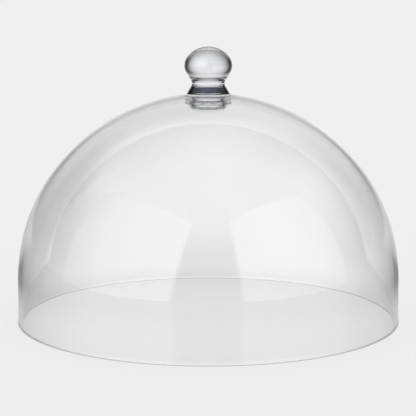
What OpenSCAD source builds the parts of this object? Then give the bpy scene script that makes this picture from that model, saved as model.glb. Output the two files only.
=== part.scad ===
/* [Dome] */
// Outer diameter at the rim
rim_d = 300; // [290:5:340]
// Wall thickness, the same all over
wall_t = 3; // [2.5:0.25:4]
// Height of the straight side wall
side_h = 32; // [20:1:50]
// Lean of the side wall, in degrees
side_draft = 0.5; // [0.25:0.25:2]
// Height that the crown's curve would reach with no flat on top
crown_h = 178; // [160:1:185]
// Radius of the rounded rim edges
rim_edge_r = 1; // [0.5:0.1:1.2]
// Diameter of the flat seat for the knob
seat_d = 40; // [38:1:60]

/* [Knob] */
// Height from the foot's underside to the top
knob_h = 36.5; // [34:0.5:42]
// Greatest diameter of the ball
ball_d = 37.2; // [34:0.2:44]
// Height of the ball's top over its widest line
ball_rise = 15.1; // [13:0.1:16.5]
// Radius of the ball's side, below its widest line
ball_side_r = 9; // [7:0.5:10]
// Diameter of the neck where it meets the ball
neck_d = 26.1; // [24:0.1:28]
// Height of the neck's top over the foot's underside
neck_h = 10.6; // [9.5:0.1:11.5]
// Diameter of the waist
waist_d = 25.3; // [22:0.1:25.9]
// Height of the waist over the foot's underside
waist_h = 7.2; // [6:0.1:8]
// Radius of the hollow below the waist
waist_r = 3.5; // [2:0.5:4]
// Diameter of the foot
foot_d = 33.6; // [30:0.2:36]

/* [Stud and ring] */
// Diameter over the ribs of the stud
rib_d = 27; // [25:0.1:28]
// Depth of the grooves between the ribs
rib_depth = 1.2; // [0.8:0.1:1.5]
// Width of the flat on each rib
rib_land = 1.2; // [0.8:0.1:1.4]
// Length of the sloping side of each rib, along the stud
rib_flank = 1.1; // [0.8:0.1:1.3]
// Outer diameter of the washer
washer_d = 36.2; // [34:0.2:38]
// Thickness of the washer
washer_t = 1; // [0.8:0.1:1.5]
// Outer diameter of the retaining ring
ring_d = 36; // [33:0.5:40]
// Thickness of the retaining ring
ring_t = 4.8; // [4:0.2:6]
// Width of the bevels round the retaining ring
ring_bevel = 0.8; // [0.4:0.1:1.2]

/* [Fits] */
// Radial clearance of the turning stud in the crown's hole
turn_gap = 0.08; // [0.04:0.01:0.1]
// Radial clearance of the retaining ring on the stud
snap_gap = 0.1; // [0.05:0.05:0.2]

/* [Hidden] */
$fn = 180;

// Steps along each kind of arc
edge_steps = 6;
small_arc_steps = 10;
crown_arc_steps = 24;

// The dome's outer line: a leaning wall, then an oval crown
rim_r = rim_d / 2;
crown_r = rim_r - (side_h - rim_edge_r) * tan(side_draft);
crown_rise = crown_h - side_h;
seat_r = seat_d / 2;

// The flat seat lies where the crown's upper arc is as wide as the seat
top_arc_r = oval_top_r(crown_r, crown_rise);
top_arc_z = crown_h - top_arc_r;
seat_z = top_arc_z + sqrt(pow(top_arc_r, 2) - pow(seat_r, 2));
seat_under_z = seat_z - wall_t;

// Heights of the knob's parts over its foot, which stands on the washer
foot_z = seat_z + washer_t;
ball_r = ball_d / 2;
ball_z = knob_h - ball_rise;
neck_r = neck_d / 2;
foot_r = foot_d / 2;

// Centres of the knob's small arcs, and the angles where straight lines touch them
ball_side = [ball_r - ball_side_r, ball_z];
ball_side_end = touch_angle(ball_side, ball_side_r, [neck_r, neck_h], 1);
hollow = [waist_d / 2 + waist_r, waist_h];
hollow_start = touch_angle(hollow, waist_r, [neck_r, neck_h], 1);
hollow_end = 360 + touch_angle(hollow, waist_r, [foot_r, 0], -1);

// Ribs: the first turns in the crown's wall, the third holds the ring up from below
rib_r = rib_d / 2;
groove_r = rib_r - rib_depth;
hole_r = rib_r + turn_gap;
rib_count = 3;
first_rib = washer_t + wall_t / 2;
last_rib = washer_t + wall_t + ring_t + rib_flank + rib_land / 2;
rib_pitch = (last_rib - first_rib) / (rib_count - 1);
stud_l = last_rib + rib_land / 2 + rib_flank;

// The stud's radius at the seat, where the first rib's slope may have begun
slope_start = first_rib - rib_land / 2 - rib_flank;
slope_at_seat = max(0, washer_t - slope_start);
stud_seat_r = min(rib_r, groove_r + rib_depth * slope_at_seat / rib_flank);

// Points along an arc, both ends included
function arc(centre, r, from, to, steps) = [
    for (i = [0 : steps])
    let (angle = from + (to - from) * i / steps)
    centre + r * [cos(angle), sin(angle)]
];

// The angle on a circle where a line from a point touches it, on the side that turn gives
function touch_angle(centre, r, from, turn) =
    let (away = from - centre)
    atan2(away.y, away.x) + turn * acos(r / norm(away));

// A quarter oval of two arcs that meet without a corner: the radius at its side and at its top
function oval_side_r(half_w, rise) = pow(rise, 2) / half_w;
function oval_side_x(half_w, rise) = half_w - oval_side_r(half_w, rise);
function oval_top_r(half_w, rise) =
    (pow(oval_side_x(half_w, rise), 2) + pow(rise, 2) - pow(oval_side_r(half_w, rise), 2))
    / (2 * (rise - oval_side_r(half_w, rise)));

// The angle at which the two arcs meet, on a low oval and on a tall one
function oval_meet_angle(half_w, rise) =
    let (lift = oval_top_r(half_w, rise) - rise)
    let (turned = sign(rise - oval_side_r(half_w, rise)))
    atan2(turned * lift, turned * oval_side_x(half_w, rise));

// Points up a quarter oval that stands on a level, drawn in by an inset, up to an angle of its top arc
function oval(half_w, rise, level, inset, top_end, steps) =
    let (meet = oval_meet_angle(half_w, rise))
    let (side_centre = [oval_side_x(half_w, rise), level])
    let (top_centre = [0, level + rise - oval_top_r(half_w, rise)])
    let (side_arc = arc(side_centre, oval_side_r(half_w, rise) - inset, 0, meet, steps))
    let (top_arc = arc(top_centre, oval_top_r(half_w, rise) - inset, meet, top_end, steps))
    concat(side_arc, [for (i = [1 : steps]) top_arc[i]]);

function backwards(points) = [for (i = [len(points) - 1 : -1 : 0]) points[i]];

// Up one side of the dome's crown to the edge of a flat at the given height
function crown_line(inset, flat_z) =
    let (top_end = asin((flat_z - top_arc_z) / (top_arc_r - inset)))
    oval(crown_r, crown_rise, side_h, inset, top_end, crown_arc_steps);

// Clear moulded dome with a rounded rim and a holed flat seat
module dome_shell() {
    inner_edge = arc([rim_r - wall_t + rim_edge_r, rim_edge_r], rim_edge_r, 180, 270, edge_steps);
    outer_edge = arc([rim_r - rim_edge_r, rim_edge_r], rim_edge_r, 270, 360, edge_steps);
    hole_wall = [[hole_r, seat_z], [hole_r, seat_under_z]];
    color([0.9, 0.92, 0.94, 0.3])
    rotate_extrude()
    polygon(concat(
        inner_edge,
        outer_edge,
        crown_line(0, seat_z),
        hole_wall,
        backwards(crown_line(wall_t, seat_under_z))
    ));
}

// The stud's half outline from the foot down to its end, widened by a clearance
function stud_line(gap) = concat(
    [[groove_r + gap, 0]],
    [
        for (i = [0 : rib_count - 1])
        let (level = -first_rib - i * rib_pitch)
        each [
            [groove_r + gap, level + rib_land / 2 + rib_flank],
            [rib_r + gap, level + rib_land / 2],
            [rib_r + gap, level - rib_land / 2],
            [groove_r + gap, level - rib_land / 2 - rib_flank]
        ]
    ],
    [[0, -stud_l]]
);

// Solid clear knob: flattened ball, neck, flared foot and ribbed stud
module knob() {
    ball_top = backwards(oval(ball_r, ball_rise, ball_z, 0, 90, small_arc_steps));
    ball_under = arc(ball_side, ball_side_r, 0, ball_side_end, small_arc_steps);
    waist = arc(hollow, waist_r, hollow_start, hollow_end, small_arc_steps);
    color([0.86, 0.88, 0.9, 0.5])
    translate([0, 0, foot_z])
    rotate_extrude()
    polygon(concat(
        ball_top,
        [for (i = [1 : small_arc_steps]) ball_under[i]],
        [[neck_r, neck_h]],
        waist,
        [[foot_r, 0]],
        stud_line(0)
    ));
}

// Clear silicone washer between the foot and the seat, held over the stud's first rib
module seat_washer() {
    bore_r = stud_seat_r + snap_gap;
    color([0.95, 0.95, 0.97, 0.6])
    translate([0, 0, seat_z])
    rotate_extrude()
    translate([bore_r, 0])
    square([washer_d / 2 - bore_r, washer_t]);
}

// Clear ring pushed on from inside, gripping the groove under the second rib
module retaining_ring() {
    ring_r = ring_d / 2;
    ring_low = seat_under_z - foot_z - ring_t;
    color([0.9, 0.92, 0.94, 0.4])
    translate([0, 0, foot_z])
    rotate_extrude()
    difference() {
        translate([0, ring_low])
        polygon([
            [0, 0],
            [ring_r - ring_bevel, 0],
            [ring_r, ring_bevel],
            [ring_r, ring_t - ring_bevel],
            [ring_r - ring_bevel, ring_t],
            [0, ring_t]
        ]);
        polygon(concat([[0, 0]], stud_line(snap_gap)));
    }
}

dome_shell();
knob();
seat_washer();
retaining_ring();
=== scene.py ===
import math

import bpy
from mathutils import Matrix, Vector


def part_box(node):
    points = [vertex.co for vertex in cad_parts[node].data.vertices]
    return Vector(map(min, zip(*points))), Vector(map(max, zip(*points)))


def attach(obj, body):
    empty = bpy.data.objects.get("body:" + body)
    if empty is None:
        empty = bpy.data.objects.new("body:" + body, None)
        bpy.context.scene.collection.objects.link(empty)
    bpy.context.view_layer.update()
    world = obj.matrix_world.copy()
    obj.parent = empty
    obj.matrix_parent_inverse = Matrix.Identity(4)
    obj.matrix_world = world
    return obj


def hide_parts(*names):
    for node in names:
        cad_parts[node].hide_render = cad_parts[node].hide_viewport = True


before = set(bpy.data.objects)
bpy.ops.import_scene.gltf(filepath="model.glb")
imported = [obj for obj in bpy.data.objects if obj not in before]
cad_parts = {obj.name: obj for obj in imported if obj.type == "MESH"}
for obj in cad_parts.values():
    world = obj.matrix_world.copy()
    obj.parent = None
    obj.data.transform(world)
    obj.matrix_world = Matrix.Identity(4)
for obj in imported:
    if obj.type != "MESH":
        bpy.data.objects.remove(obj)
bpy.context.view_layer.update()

bpy.context.scene.view_settings.view_transform = "Standard"

# Dome shell: one clear moulding, open below, with a straight side wall and a crown of two arcs.
# It is drawn as half of its outer line, spun round the upright axis and given its wall inwards.
# The rim is rounded on both edges, and the flat seat on top has the hole for the knob's stud.
_, shell_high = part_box("dome_shell")
rim_r = shell_high.x
seat_z = shell_high.z
wall_t = 0.003
side_h = 0.032
side_draft = math.radians(0.5)
crown_h = 0.178
crown_side_steps, crown_top_steps = 36, 40
rim_edge_r, rim_edge_steps = 0.001, 6
seat_blend, seat_blend_steps = 0.0008, 2
hole_r = 0.01358
hole_edge_r, hole_edge_steps = 0.0003, 3
spin_steps = 256
sharp_angle = math.radians(35)


def start_outline(name, place):
    """A new mesh at the origin, in edit mode, with one point in the plane y = 0 to draw from."""
    bpy.ops.object.select_all(action="DESELECT")
    bpy.ops.mesh.primitive_plane_add(size=wall_t)
    piece = bpy.context.object
    piece.name = piece.data.name = name
    bpy.ops.object.mode_set(mode="EDIT")
    bpy.ops.mesh.select_mode(type="VERT")
    bpy.ops.mesh.select_all(action="SELECT")
    bpy.ops.mesh.merge(type="CENTER")
    bpy.ops.transform.translate(value=(place[0], 0, place[1]))
    return piece


def line(start, *places):
    """Draws straight edges from the outline's free end, at start, to each place in turn."""
    for place in places:
        step = (place[0] - start[0], 0, place[1] - start[1])
        bpy.ops.mesh.extrude_vertices_move(TRANSFORM_OT_translate={"value": step})
        start = place
    return start


def arc(start, centre, turn, steps):
    """Draws an arc round a centre from the outline's free end, at start, and gives the arc's end."""
    bpy.ops.mesh.spin(steps=steps, angle=turn, center=(centre[0], 0, centre[1]), axis=(0, 1, 0))
    across, up = start[0] - centre[0], start[1] - centre[1]
    return (
        centre[0] + across * math.cos(turn) - up * math.sin(turn),
        centre[1] + across * math.sin(turn) + up * math.cos(turn),
    )


def spin_outline():
    """Turns the outline once round the upright axis and closes the seam and the poles."""
    bpy.ops.mesh.select_all(action="SELECT")
    bpy.ops.mesh.spin(steps=spin_steps, angle=math.tau, center=(0, 0, 0), axis=(0, 0, 1))
    bpy.ops.mesh.select_all(action="SELECT")
    bpy.ops.mesh.remove_doubles(threshold=1e-6)
    bpy.ops.mesh.normals_make_consistent(inside=False)


def round_rings(piece, size, steps, *rings):
    """Rounds the level edges at each given radius and height, which may be out by a little."""
    slack = 3e-5
    for ring_r, ring_z in rings:
        bpy.ops.mesh.select_mode(type="EDGE")
        bpy.ops.mesh.select_all(action="DESELECT")
        bpy.ops.object.mode_set(mode="OBJECT")
        points = piece.data.vertices
        for edge in piece.data.edges:
            ends = [points[i].co for i in edge.vertices]
            edge.select = all(
                abs(end.xy.length - ring_r) < slack and abs(end.z - ring_z) < slack for end in ends
            )
        bpy.ops.object.mode_set(mode="EDIT")
        bpy.ops.mesh.bevel(offset=size, segments=steps, affect="EDGES", profile=0.5)


def finish_mesh():
    """Back to object mode, smooth but for the sharp edges."""
    bpy.ops.object.mode_set(mode="OBJECT")
    bpy.ops.object.shade_smooth_by_angle(angle=sharp_angle)


def oval_arcs(half_w, rise):
    """The two arcs of a quarter oval: the x of the side arc's centre, the top arc's radius, and the
    angle at which they meet."""
    side_r = rise**2 / half_w
    side_x = half_w - side_r
    top_r = (side_x**2 + rise**2 - side_r**2) / (2 * (rise - side_r))
    turned = math.copysign(1, rise - side_r)
    return side_x, top_r, math.atan2(turned * (top_r - rise), turned * side_x)


crown_r = rim_r - (side_h - rim_edge_r) * math.tan(side_draft)
side_x, top_r, meet = oval_arcs(crown_r, crown_h - side_h)
top_z = crown_h - top_r
seat_angle = math.asin((seat_z - top_z) / top_r)
seat_r = top_r * math.cos(seat_angle)
under_r = math.sqrt((top_r - wall_t) ** 2 - (seat_z - wall_t - top_z) ** 2)

dome = start_outline("clear_dome", (rim_r, 0))
pen = line((rim_r, 0), (rim_r, rim_edge_r), (crown_r, side_h))
pen = arc(pen, (side_x, side_h), meet, crown_side_steps)
pen = arc(pen, (0, top_z), seat_angle - meet, crown_top_steps)
line(pen, (hole_r, seat_z))
spin_outline()
bpy.ops.object.mode_set(mode="OBJECT")
wall = dome.modifiers.new("wall", "SOLIDIFY")
wall.thickness = wall_t
wall.offset = -1
wall.use_even_offset = True
bpy.ops.object.modifier_apply(modifier=wall.name)
bpy.ops.object.mode_set(mode="EDIT")
round_rings(dome, rim_edge_r, rim_edge_steps, (rim_r, 0), (rim_r - wall_t, 0))
round_rings(dome, seat_blend, seat_blend_steps, (seat_r, seat_z), (under_r, seat_z - wall_t))
round_rings(dome, hole_edge_r, hole_edge_steps, (hole_r, seat_z), (hole_r, seat_z - wall_t))
finish_mesh()


def feed(tree, socket, value):
    """Sets a socket to a number, or links an output to it."""
    if isinstance(value, (int, float)):
        socket.default_value = value
    else:
        tree.links.new(value, socket)


def smooth_step(tree, source, low, high, to_low, to_high):
    """A smooth step of a value from one range to another."""
    step = tree.nodes.new("ShaderNodeMapRange")
    step.interpolation_type = "SMOOTHSTEP"
    for name, value in (("From Min", low), ("From Max", high), ("To Min", to_low), ("To Max", to_high)):
        step.inputs[name].default_value = value
    tree.links.new(source, step.inputs["Value"])
    return step.outputs["Result"]


def combine(tree, operation, one, other=0):
    """One maths step on one or two outputs or numbers."""
    step = tree.nodes.new("ShaderNodeMath")
    step.operation = operation
    feed(tree, step.inputs[0], one)
    feed(tree, step.inputs[1], other)
    return step.outputs[0]


def times(tree, product, *factors):
    """The product of some outputs or numbers."""
    for factor in factors:
        product = combine(tree, "MULTIPLY", product, factor)
    return product


def handling_marks():
    """The marks of moulding and use on clear plastic: slow waves, dull patches and hairline scratches."""
    dull_range, hairline_half_w = (0.5, 0.75), 0.008
    group = bpy.data.node_groups.new("handling_marks", "ShaderNodeTree")
    group.interface.new_socket("Vector", in_out="INPUT", socket_type="NodeSocketVector")
    for name in ("Waves", "Dull", "Hairlines"):
        group.interface.new_socket(name, in_out="OUTPUT", socket_type="NodeSocketFloat")
    inside = group.nodes.new("NodeGroupInput")
    outside = group.nodes.new("NodeGroupOutput")

    def noise(vector, **settings):
        texture = group.nodes.new("ShaderNodeTexNoise")
        for name, value in settings.items():
            texture.inputs[name].default_value = value
        group.links.new(vector, texture.inputs["Vector"])
        return texture.outputs["Fac"]

    waves = noise(inside.outputs["Vector"], Scale=22, Detail=1)
    patches = noise(inside.outputs["Vector"], Scale=34, Detail=5, Roughness=0.62)
    along = group.nodes.new("ShaderNodeMapping")
    along.inputs["Rotation"].default_value = (0.4, 0.7, 0.3)
    along.inputs["Scale"].default_value = (1, 1, 14)
    group.links.new(inside.outputs["Vector"], along.inputs["Vector"])
    strokes = noise(along.outputs["Vector"], Scale=60, Detail=2, Distortion=0.4)
    off_middle = combine(group, "ABSOLUTE", combine(group, "SUBTRACT", strokes, 0.5))
    group.links.new(waves, outside.inputs["Waves"])
    group.links.new(smooth_step(group, patches, *dull_range, 0, 1), outside.inputs["Dull"])
    group.links.new(smooth_step(group, off_middle, 0, hairline_half_w, 1, 0), outside.inputs["Hairlines"])
    return group


marks_group = handling_marks()


def clear_plastic(name, tint, dull_tint, ior, polish, dullness, wave_height, clearness=1):
    """A clear plastic with its own tint, polish and waviness, marked by moulding and handling."""
    plastic = bpy.data.materials.new(name)
    plastic.use_nodes = True
    tree = plastic.node_tree
    shader = tree.nodes["Principled BSDF"]
    shader.inputs["Transmission Weight"].default_value = clearness
    shader.inputs["IOR"].default_value = ior
    place = tree.nodes.new("ShaderNodeTexCoord")
    marks = tree.nodes.new("ShaderNodeGroup")
    marks.node_tree = marks_group
    tree.links.new(place.outputs["Object"], marks.inputs["Vector"])

    colour = tree.nodes.new("ShaderNodeMix")
    colour.data_type = "RGBA"
    colour.inputs["A"].default_value = (*tint, 1)
    colour.inputs["B"].default_value = (*dull_tint, 1)
    tree.links.new(marks.outputs["Dull"], colour.inputs["Factor"])
    tree.links.new(colour.outputs["Result"], shader.inputs["Base Color"])

    worn = combine(tree, "MAXIMUM", marks.outputs["Dull"], marks.outputs["Hairlines"])
    rough = tree.nodes.new("ShaderNodeMapRange")
    rough.inputs["To Min"].default_value = polish
    rough.inputs["To Max"].default_value = dullness
    tree.links.new(worn, rough.inputs["Value"])
    tree.links.new(rough.outputs["Result"], shader.inputs["Roughness"])

    bump = tree.nodes.new("ShaderNodeBump")
    bump.inputs["Distance"].default_value = wave_height
    tree.links.new(marks.outputs["Waves"], bump.inputs["Height"])
    tree.links.new(bump.outputs["Normal"], shader.inputs["Normal"])
    return plastic


def paint_shade(plastic, amount, dark):
    """Paints shade into a clear plastic's colour, taking it down to a dark one by an amount from 0 to 1."""
    tree = plastic.node_tree
    base = tree.nodes["Principled BSDF"].inputs["Base Color"]
    darken = tree.nodes.new("ShaderNodeMix")
    darken.data_type = "RGBA"
    darken.inputs["B"].default_value = (*dark, 1)
    tree.links.new(amount, darken.inputs["Factor"])
    tree.links.new(base.links[0].from_socket, darken.inputs["A"])
    tree.links.new(darken.outputs["Result"], base)


def paint_slant_shade(plastic, low, high, depth, masks=()):
    """Darkens a clear plastic where it is seen at a slant, more than the longer way through it would: partly
    that longer way, partly painted shade.
    """
    tree = plastic.node_tree
    slant = tree.nodes.new("ShaderNodeLayerWeight")
    amount = smooth_step(tree, slant.outputs["Facing"], low, high, 0, depth)
    paint_shade(plastic, times(tree, amount, *masks), (0, 0, 0))


shell_plastic = clear_plastic(
    "clear_shell",
    tint=(0.99, 0.992, 0.992),
    dull_tint=(0.982, 0.984, 0.983),
    ior=1.585,
    polish=0.0,
    dullness=0.03,
    wave_height=0.00004,
)
# The shell's slanting edges get some painted shade on top of the longer way through the wall.
paint_slant_shade(shell_plastic, low=0.2, high=0.5, depth=0.08)
dome.data.materials.append(shell_plastic)
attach(dome, "dome")
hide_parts("dome_shell")

# Washer: a thin flat ring of clear silicone, pressed between the knob's foot and the seat.
# It is drawn a shade thinner than its space, so that no two clear faces lie in one plane.
washer_low, washer_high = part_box("seat_washer")
skin_gap = 0.00005
washer_bore_r = 0.01262
washer_edge_r, washer_edge_steps = 0.0003, 3
washer_top = washer_high.z - skin_gap
washer_under = washer_low.z + skin_gap

washer = start_outline("silicone_washer", (washer_high.x, washer_under))
line(
    (washer_high.x, washer_under),
    (washer_high.x, washer_top),
    (washer_bore_r, washer_top),
    (washer_bore_r, washer_under),
    (washer_high.x, washer_under),
)
spin_outline()
outer_edges = (washer_high.x, washer_top), (washer_high.x, washer_under)
round_rings(washer, washer_edge_r, washer_edge_steps, *outer_edges)
finish_mesh()
washer.data.materials.append(
    clear_plastic(
        "clear_silicone",
        tint=(0.975, 0.975, 0.985),
        dull_tint=(0.95, 0.95, 0.97),
        ior=1.41,
        polish=0.08,
        dullness=0.2,
        wave_height=0.00003,
        clearness=0.15,
    )
)
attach(washer, "knob")
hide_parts("seat_washer")

# Knob: one clear moulding, a flattened ball on a waisted neck, with a flared foot and a stud below it.
# The stud goes through the washer and the hole, has three level ribs for the ring, and is bored up to
# the foot. Its colour carries painted shade at a slant, beyond the longer way through it, and painted dark
# reflections in the images that its own inside mirrors.
knob_low, knob_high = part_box("knob")
ball_r = knob_high.x
ball_rise = 0.0151
ball_z = knob_high.z - ball_rise
ball_under_r = 0.009
ball_steps, small_arc_steps = 24, 16
foot_z = washer_high.z
foot_r = 0.0168
foot_edge_r, foot_edge_steps = 0.0003, 3
neck = (0.01305, foot_z + 0.0097)
waist_r, waist_z, hollow_r = 0.01265, foot_z + 0.0079, 0.0035
rib_r, groove_r = 0.0135, 0.0123
rib_land, rib_flank, rib_count = 0.0012, 0.0011, 3
rib_edge_r, rib_edge_steps = 0.00015, 2
stud_wall = 0.002
first_rib = seat_z - wall_t / 2
last_rib = knob_low.z + rib_flank + rib_land / 2


def touch_angle(centre, radius, start, turn):
    """The angle on a circle where a line from a point touches it, on the side that turn gives."""
    away = Vector(start) - Vector(centre)
    return math.atan2(away.y, away.x) + turn * math.acos(radius / away.length)


def on_circle(centre, radius, angle):
    """The point of a circle at an angle."""
    return centre[0] + radius * math.cos(angle), centre[1] + radius * math.sin(angle)


def rib_corners(gap):
    """The corners of each rib of the stud from the top down, moved out by a clearance."""
    ribs = []
    for rib in range(rib_count):
        level = first_rib + (last_rib - first_rib) * rib / (rib_count - 1)
        ribs.append((
            (groove_r + gap, level + rib_land / 2 + rib_flank),
            (rib_r + gap, level + rib_land / 2),
            (rib_r + gap, level - rib_land / 2),
            (groove_r + gap, level - rib_land / 2 - rib_flank),
        ))
    return ribs


side_x, top_r, meet = oval_arcs(ball_r, ball_rise)
under = (ball_r - ball_under_r, ball_z)
under_end = touch_angle(under, ball_under_r, neck, 1)
hollow = (waist_r + hollow_r, waist_z)
hollow_start = touch_angle(hollow, hollow_r, neck, 1)
hollow_end = math.tau + touch_angle(hollow, hollow_r, (foot_r, foot_z), -1)
stud_bore_r = groove_r - stud_wall

knob = start_outline("ball_knob", (0, knob_high.z))
pen = arc((0, knob_high.z), (0, knob_high.z - top_r), meet - math.pi / 2, ball_steps)
pen = arc(pen, (side_x, ball_z), -meet, ball_steps)
pen = arc(pen, under, under_end, small_arc_steps)
pen = line(pen, neck, on_circle(hollow, hollow_r, hollow_start))
pen = arc(pen, hollow, hollow_end - hollow_start, small_arc_steps)
pen = line(pen, (foot_r, foot_z), (groove_r, foot_z))
for corners in rib_corners(0):
    pen = line(pen, *corners)
line(pen, (stud_bore_r, knob_low.z), (stud_bore_r, foot_z), (0, foot_z))
spin_outline()
round_rings(knob, foot_edge_r, foot_edge_steps, (foot_r, foot_z))
rib_edges = [corner for corners in rib_corners(0) for corner in corners[1:3]]
round_rings(knob, rib_edge_r, rib_edge_steps, *rib_edges)
finish_mesh()
knob_plastic = clear_plastic(
    "clear_knob",
    tint=(0.955, 0.96, 0.975),
    dull_tint=(0.94, 0.945, 0.96),
    ior=1.5,
    polish=0.0,
    dullness=0.04,
    wave_height=0.00003,
)


def split(tree, vector):
    """A vector's three parts, X, Y and Z."""
    parts = tree.nodes.new("ShaderNodeSeparateXYZ")
    tree.links.new(vector, parts.inputs[0])
    return tuple(parts.outputs)


# Painted shade on the ball: darkest at its sides, a little less so on top, with a painted highlight round
# its crest.
top_range, top_shade_share = (ball_z + 0.004, ball_z + 0.012), 0.85
neck_range = (ball_z - 0.011, ball_z - 0.004)
gleam_start, gleam_end, gleam_most = (0.5, 0.57), (0.66, 0.75), 0.7
gleam_range = (ball_z + 0.0115, ball_z + 0.013)
tree = knob_plastic.node_tree
place = tree.nodes.new("ShaderNodeTexCoord")
_, _, height = split(tree, place.outputs["Object"])
slant = tree.nodes.new("ShaderNodeLayerWeight").outputs["Facing"]
under_top = smooth_step(tree, height, *top_range, 1, top_shade_share)
over_neck = smooth_step(tree, height, *neck_range, 0, 1)
# Painted highlight: a ring round the crest where the painted shade is lifted.
painted_gleam = times(
    tree,
    smooth_step(tree, slant, *gleam_start, 0, gleam_most),
    smooth_step(tree, slant, *gleam_end, 1, 0),
    smooth_step(tree, height, *gleam_range, 0, 1),
)
off_painted_gleam = combine(tree, "SUBTRACT", 1, painted_gleam)
paint_slant_shade(knob_plastic, low=0.02, high=0.54, depth=0.995, masks=(under_top, over_neck, off_painted_gleam))


def mirrored(tree):
    """1 on a ray that has been mirrored at least once, 0 on one that is seen directly or through."""
    path = tree.nodes.new("ShaderNodeLightPath")
    return combine(tree, "GREATER_THAN", path.outputs["Glossy Depth"], 0.5)


# Painted dark reflections: rays leaving the knob again after they were mirrored in it are painted dark, by
# neck and by ball.
neck_painted_dark = (foot_z, foot_z + 0.0006), (foot_z + 0.0095, foot_z + 0.0105), (0.004, 0.004, 0.011)
ball_painted_dark = (ball_z - 0.006, ball_z - 0.005), (ball_z + 0.01, ball_z + 0.013), (0.002, 0.002, 0.002)
path = tree.nodes.new("ShaderNodeLightPath")
face = tree.nodes.new("ShaderNodeNewGeometry")
entered_once = combine(tree, "LESS_THAN", path.outputs["Transmission Depth"], 1.5)
painted_dark_mask = times(tree, mirrored(tree), face.outputs["Backfacing"], entered_once)
for start, end, dark in (neck_painted_dark, ball_painted_dark):
    band = times(tree, smooth_step(tree, height, *start, 0, 1), smooth_step(tree, height, *end, 1, 0))
    paint_shade(knob_plastic, times(tree, painted_dark_mask, band), dark)
knob.data.materials.append(knob_plastic)
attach(knob, "knob")
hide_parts("knob")

# Retaining ring: a clear ring pushed on to the stud from inside, up against the crown.
# Its bore follows the ribs, and both of its outer edges are eased.
ring_low, ring_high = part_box("retaining_ring")
ring_gap = 0.0001
ring_edge_r, ring_edge_steps = 0.0008, 4
ring_top = ring_high.z - skin_gap
bore = rib_corners(ring_gap)
top_flank = (bore[0][3][1], bore[0][2][1])
top_share = (ring_top - top_flank[0]) / (top_flank[1] - top_flank[0])
bore_top_r = groove_r + ring_gap + (rib_r - groove_r) * top_share

ring = start_outline("push_ring", (ring_high.x, ring_low.z))
line(
    (ring_high.x, ring_low.z),
    (ring_high.x, ring_top),
    (bore_top_r, ring_top),
    bore[0][3],
    *bore[1],
    (groove_r + ring_gap, ring_low.z),
    (ring_high.x, ring_low.z),
)
spin_outline()
round_rings(ring, ring_edge_r, ring_edge_steps, (ring_high.x, ring_low.z), (ring_high.x, ring_top))
finish_mesh()
ring.data.materials.append(
    clear_plastic(
        "clear_ring",
        tint=(0.955, 0.96, 0.97),
        dull_tint=(0.94, 0.945, 0.955),
        ior=1.48,
        polish=0.0,
        dullness=0.06,
        wave_height=0.00003,
    )
)
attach(ring, "knob")
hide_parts("retaining_ring")

# Room: a pale surround for all that is seen directly or through the cover. What is mirrored is a dark room
# with a light overhead that ends in a bright strip at the back, dim side walls, and a backdrop behind.
# Ranges are parts of a direction: across to the right, away from the camera, up, or straight behind.
pale = 0.871
through_range, through_top = (0.35, 0.75), 0.1
room_glow, room_low_glow, room_low_range = 0.03, 0.15, (0, 0.25)
overhead_glow, overhead_back_glow, overhead_back_range = 0.85, 1.05, (0.1, 0.4)
overhead_up_range = (0.4, 0.76)
overhead_right_range, overhead_right_share = (0, 0.5), 0.55
overhead_edge = 0.543
overhead_edge_range, overhead_past_edge = (overhead_edge - 0.08, overhead_edge + 0.16), 0.15
strip_glow, strip_half_w, strip_lowest = 0.6, 0.014, 0.5
strip_start, strip_end = (-0.62, -0.5), (-0.25, 0)
side_glow, side_start = 0.33, (-0.05, 0.05)
left_side_end = (0.39, 0.43)
right_side_end, right_side_share = (0.45, 0.75), 0.9
right_side_up_range, right_side_low_share = (0.15, 0.45), 0.25
behind_range, behind_up_range = (0.66, 0.94), (0.1, 0.25)
behind_glow, high_behind_glow = 0.3, 0.52
backdrop_glow, backdrop_range, backdrop_up_range = 0.5, (0.94, 0.995), (0.05, 0.3)
walls_top_range = (0.6, 0.9)


def choose(tree, test, off, on):
    """One of two outputs or numbers, by a test of 0 or 1."""
    switch = tree.nodes.new("ShaderNodeMix")
    switch.data_type = "FLOAT"
    for socket, value in zip((switch.inputs[0], switch.inputs[2], switch.inputs[3]), (test, off, on)):
        feed(tree, socket, value)
    return switch.outputs[0]


def backwardness(tree, across, away):
    """How far a direction or place on plan lies straight behind the cover, 1 at most."""
    squares = [combine(tree, "POWER", value, 2) for value in (across, away)]
    length = combine(tree, "SQRT", combine(tree, "ADD", *squares))
    return combine(tree, "DIVIDE", away, length)


world = bpy.data.worlds.new("studio")
bpy.context.scene.world = world
world.use_nodes = True
tree = world.node_tree
tree.nodes.clear()
looking = tree.nodes.new("ShaderNodeTexCoord")
across, away, up = split(tree, looking.outputs["Generated"])
straight = backwardness(tree, across, away)
overhead = times(
    tree,
    smooth_step(tree, away, *overhead_back_range, overhead_glow, overhead_back_glow),
    smooth_step(tree, up, *overhead_up_range, 0, 1),
    smooth_step(tree, away, *overhead_edge_range, 1, overhead_past_edge),
    smooth_step(tree, across, *overhead_right_range, 1, overhead_right_share),
)
off_strip = combine(tree, "ABSOLUTE", combine(tree, "SUBTRACT", away, overhead_edge))
strip = times(
    tree,
    smooth_step(tree, off_strip, 0, strip_half_w, strip_glow, 0),
    smooth_step(tree, across, *strip_start, 0, 1),
    smooth_step(tree, across, *strip_end, 1, 0),
    combine(tree, "GREATER_THAN", up, strip_lowest),
)
left_side = smooth_step(tree, straight, *left_side_end, 1, 0)
right_side = times(
    tree,
    smooth_step(tree, straight, *right_side_end, right_side_share, 0),
    smooth_step(tree, up, *right_side_up_range, right_side_low_share, 1),
)
sides = times(
    tree,
    smooth_step(tree, straight, *side_start, 0, side_glow),
    choose(tree, combine(tree, "GREATER_THAN", across, 0), left_side, right_side),
)
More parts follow.
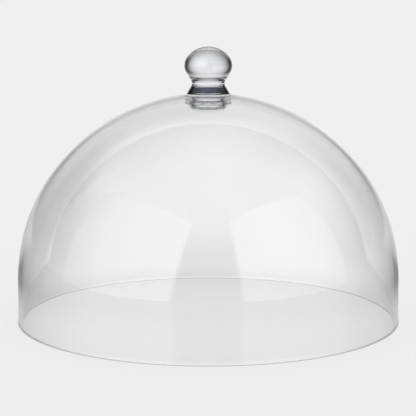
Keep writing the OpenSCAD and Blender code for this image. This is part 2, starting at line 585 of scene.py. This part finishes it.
behind = times(
    tree,
    smooth_step(tree, straight, *behind_range, 0, 1),
    smooth_step(tree, up, *behind_up_range, behind_glow, high_behind_glow),
)
backdrop = times(
    tree,
    smooth_step(tree, straight, *backdrop_range, 0, backdrop_glow),
    smooth_step(tree, up, *backdrop_up_range, 1, 0),
)
walls = times(
    tree,
    combine(tree, "MAXIMUM", sides, combine(tree, "ADD", behind, backdrop)),
    smooth_step(tree, up, *walls_top_range, 1, 0),
)
room = smooth_step(tree, up, *room_low_range, room_low_glow, room_glow)
for light in (overhead, strip, walls):
    room = combine(tree, "ADD", room, light)
path = tree.nodes.new("ShaderNodeLightPath")
through = smooth_step(tree, up, *through_range, pale, through_top)
seen = choose(tree, path.outputs["Is Camera Ray"], 1, pale)
seen = choose(tree, path.outputs["Is Transmission Ray"], seen, through)
shown = choose(tree, mirrored(tree), seen, room)
scattered = combine(tree, "GREATER_THAN", path.outputs["Diffuse Depth"], 0.5)
background = tree.nodes.new("ShaderNodeBackground")
background.inputs["Color"].default_value = (1, 1, 1, 1)
tree.links.new(choose(tree, scattered, shown, 1), background.inputs["Strength"])
surroundings = tree.nodes.new("ShaderNodeOutputWorld")
tree.links.new(background.outputs[0], surroundings.inputs["Surface"])

# Floor: a pale table that takes the cover's shadow, with a painted contact shadow where the rim touches it,
# painted shade under the dome and painted light that grows from left to right. In mirror images it glows at
# painted strengths: darker, but for the part near what mirrors it, the part behind and what lies under the
# dome, and a painted highlight right beside the rim.
floor_r, floor_sides = 30, 128
floor_own_glow = 0.85
left_pale, right_pale, pale_range = 0.89 * pale, 1.1 * pale, (-0.3, 0.3)
under_pale = 0.985 * pale
contact_shade = 0.45
contact_inner = (rim_r - wall_t - 0.0005, rim_r - wall_t + 0.0005)
contact_outer = (rim_r, rim_r + 0.0008)
table_glow, table_mid_glow, table_far_glow = 0.5, 0.17, 0.2
table_near_range, table_far_range = (0.05, 0.2), (0.4, 0.7)
table_behind_glow, table_behind_range = 0.55, (0.55, 0.84)
table_backdrop_glow, table_backdrop_range = 0.3, (0.95, 1)
inside_glow, inside_edge_glow, inside_range = 0.8, 0.15, (0.09, rim_r)
rim_light, rim_side_light, rim_side_range = 1.1, 0.3, (0.6, 0.95)
rim_light_reach = (0.0072, 0.012)
table_sheen, table_sheen_rough = 0.3, 0.1


def bare_material(thing):
    """A material without nodes on a thing of the stage, with the thing's name; gives its node tree."""
    material = bpy.data.materials.new(thing.name)
    material.use_nodes = True
    material.node_tree.nodes.clear()
    thing.data.materials.append(material)
    return material.node_tree


def glowing(tree, strength):
    """A white glow of a strength that varies."""
    glow = tree.nodes.new("ShaderNodeEmission")
    glow.inputs["Color"].default_value = (1, 1, 1, 1)
    tree.links.new(strength, glow.inputs["Strength"])
    return glow.outputs[0]


def mix_shaders(tree, amount, off, on):
    """Goes from one shader to another by an amount, which is an output or a number."""
    switch = tree.nodes.new("ShaderNodeMixShader")
    for socket, value in zip(switch.inputs, (amount, off, on)):
        feed(tree, socket, value)
    return switch.outputs[0]


def cover_with(tree, shader):
    """Makes a shader the surface of a material."""
    out = tree.nodes.new("ShaderNodeOutputMaterial")
    tree.links.new(shader, out.inputs["Surface"])


bpy.ops.object.select_all(action="DESELECT")
bpy.ops.mesh.primitive_circle_add(
    vertices=floor_sides,
    radius=floor_r,
    fill_type="NGON",
    location=(0, 0, -skin_gap),
)
floor = bpy.context.object
floor.name = "floor"
tree = bare_material(floor)
place = tree.nodes.new("ShaderNodeNewGeometry")
across, away, _ = split(tree, place.outputs["Position"])
straight = backwardness(tree, across, away)
length = tree.nodes.new("ShaderNodeVectorMath")
length.operation = "LENGTH"
tree.links.new(place.outputs["Position"], length.inputs[0])
from_axis = length.outputs["Value"]
under_dome = combine(tree, "LESS_THAN", from_axis, rim_r)
path = tree.nodes.new("ShaderNodeLightPath")

# Painted light and shade on the floor: darker to the left, brighter to the right, a shade darker under the
# dome.
seen = smooth_step(tree, across, *pale_range, left_pale, right_pale)
seen = choose(tree, under_dome, seen, under_pale)
seen = choose(tree, path.outputs["Is Transmission Ray"], pale, seen)
# Painted contact shadow: a dark ring in the floor's glow where the rim touches it.
contact = combine(
    tree,
    "MAXIMUM",
    smooth_step(tree, from_axis, *contact_inner, 1, contact_shade),
    smooth_step(tree, from_axis, *contact_outer, contact_shade, 1),
)
paint = tree.nodes.new("ShaderNodeBsdfDiffuse")
paint.inputs["Color"].default_value = (pale, pale, pale, 1)
plain = mix_shaders(tree, floor_own_glow, paint.outputs[0], glowing(tree, times(tree, seen, contact)))

# Painted reflection: in mirror images the floor glows at set strengths in place of being lit, with a painted
# highlight right beside the rim.
ray_length = path.outputs["Ray Length"]
near = smooth_step(tree, ray_length, *table_near_range, table_glow, table_mid_glow)
far = smooth_step(tree, from_axis, *table_far_range, table_mid_glow, table_far_glow)
behind = smooth_step(tree, straight, *table_behind_range, 0, table_behind_glow)
backdrop = smooth_step(tree, straight, *table_backdrop_range, 0, table_backdrop_glow)
table = combine(tree, "MAXIMUM", combine(tree, "MAXIMUM", near, far), behind)
table = combine(tree, "ADD", table, backdrop)
inside = smooth_step(tree, from_axis, *inside_range, inside_glow, inside_edge_glow)
painted_rim_highlight = times(
    tree,
    smooth_step(tree, combine(tree, "ABSOLUTE", straight), *rim_side_range, rim_side_light, rim_light),
    smooth_step(tree, ray_length, *rim_light_reach, 1, 0),
)
table = combine(tree, "MAXIMUM", choose(tree, under_dome, table, inside), painted_rim_highlight)
sheen = tree.nodes.new("ShaderNodeBsdfGlossy")
sheen.inputs["Color"].default_value = (table_sheen, table_sheen, table_sheen, 1)
sheen.inputs["Roughness"].default_value = table_sheen_rough
image = tree.nodes.new("ShaderNodeAddShader")
tree.links.new(glowing(tree, table), image.inputs[0])
tree.links.new(sheen.outputs[0], image.inputs[1])
cover_with(tree, mix_shaders(tree, mirrored(tree), plain, image.outputs[0]))

# Softboxes: two standing panels in front of the cover, left and right, that show only in mirror images.
# Each fades to clear along its inner edge, which leans, its outer edge and its top, and is brightest inside.
box_distance = 1.2
box_turn, box_twist = math.radians(40), math.radians(8)
box_inner, box_h = 0.85, 1.6
inner_fade, outer_fade, top_fade = 0.09, 0.15, 0.2
outer_share = 0.6
for name, side, strength, foot_inner, lean, box_outer in (
    ("left", -1, 1.25, 0.495, 0.187, 1.355),
    ("right", 1, 1.05, 0.535, 0.093, 1.15),
):
    bpy.ops.object.select_all(action="DESELECT")
    bpy.ops.mesh.primitive_plane_add(size=1)
    panel = bpy.context.object
    panel.name = "softbox_" + name
    bpy.ops.object.mode_set(mode="EDIT")
    bpy.ops.mesh.select_all(action="SELECT")
    bpy.ops.transform.resize(value=(box_inner + box_outer, box_h, 1))
    bpy.ops.transform.translate(value=((box_inner - box_outer) / 2 * side, box_h / 2, 0))
    bpy.ops.object.mode_set(mode="OBJECT")
    stand, facing = (
        Vector((side * math.sin(turn), -math.cos(turn), 0)) for turn in (box_turn, box_turn + box_twist)
    )
    panel.location = stand * box_distance
    panel.rotation_euler = (-facing).to_track_quat("Z", "Y").to_euler()
    tree = bare_material(panel)
    place = tree.nodes.new("ShaderNodeTexCoord")
    along, up, _ = split(tree, place.outputs["Object"])
    inward = combine(tree, "MULTIPLY", along, side)
    upright = combine(tree, "SUBTRACT", inward, combine(tree, "MULTIPLY", up, lean))
    lit = times(
        tree,
        smooth_step(tree, upright, foot_inner - inner_fade, foot_inner, 1, 0),
        smooth_step(tree, inward, -box_outer, outer_fade - box_outer, 0, 1),
        smooth_step(tree, up, box_h - top_fade, box_h, 1, 0),
    )
    lamp = glowing(tree, smooth_step(tree, inward, -box_outer, 0, outer_share * strength, strength))
    clear = tree.nodes.new("ShaderNodeBsdfTransparent")
    cover_with(tree, mix_shaders(tree, times(tree, mirrored(tree), lit), clear.outputs[0], lamp))
    panel.visible_camera = False

# Camera: in front of the cover and a little above its knob, looking down by about nine degrees.
# Its lens is long, so that the rim's ellipse and the outline keep the photograph's proportions.
view_distance, view_lift, view_centre_z = 1.2, math.radians(9.21), 0.09
aim = Vector((-0.0002, 0, 0.0875))
camera = bpy.data.objects.new("camera", bpy.data.cameras.new("camera"))
bpy.context.scene.collection.objects.link(camera)
camera.location = (
    0,
    -view_distance * math.cos(view_lift),
    view_centre_z + view_distance * math.sin(view_lift),
)
camera.rotation_euler = (aim - camera.location).to_track_quat("-Z", "Y").to_euler()
camera.data.sensor_width = 36
camera.data.lens = 132
bpy.context.scene.camera = camera
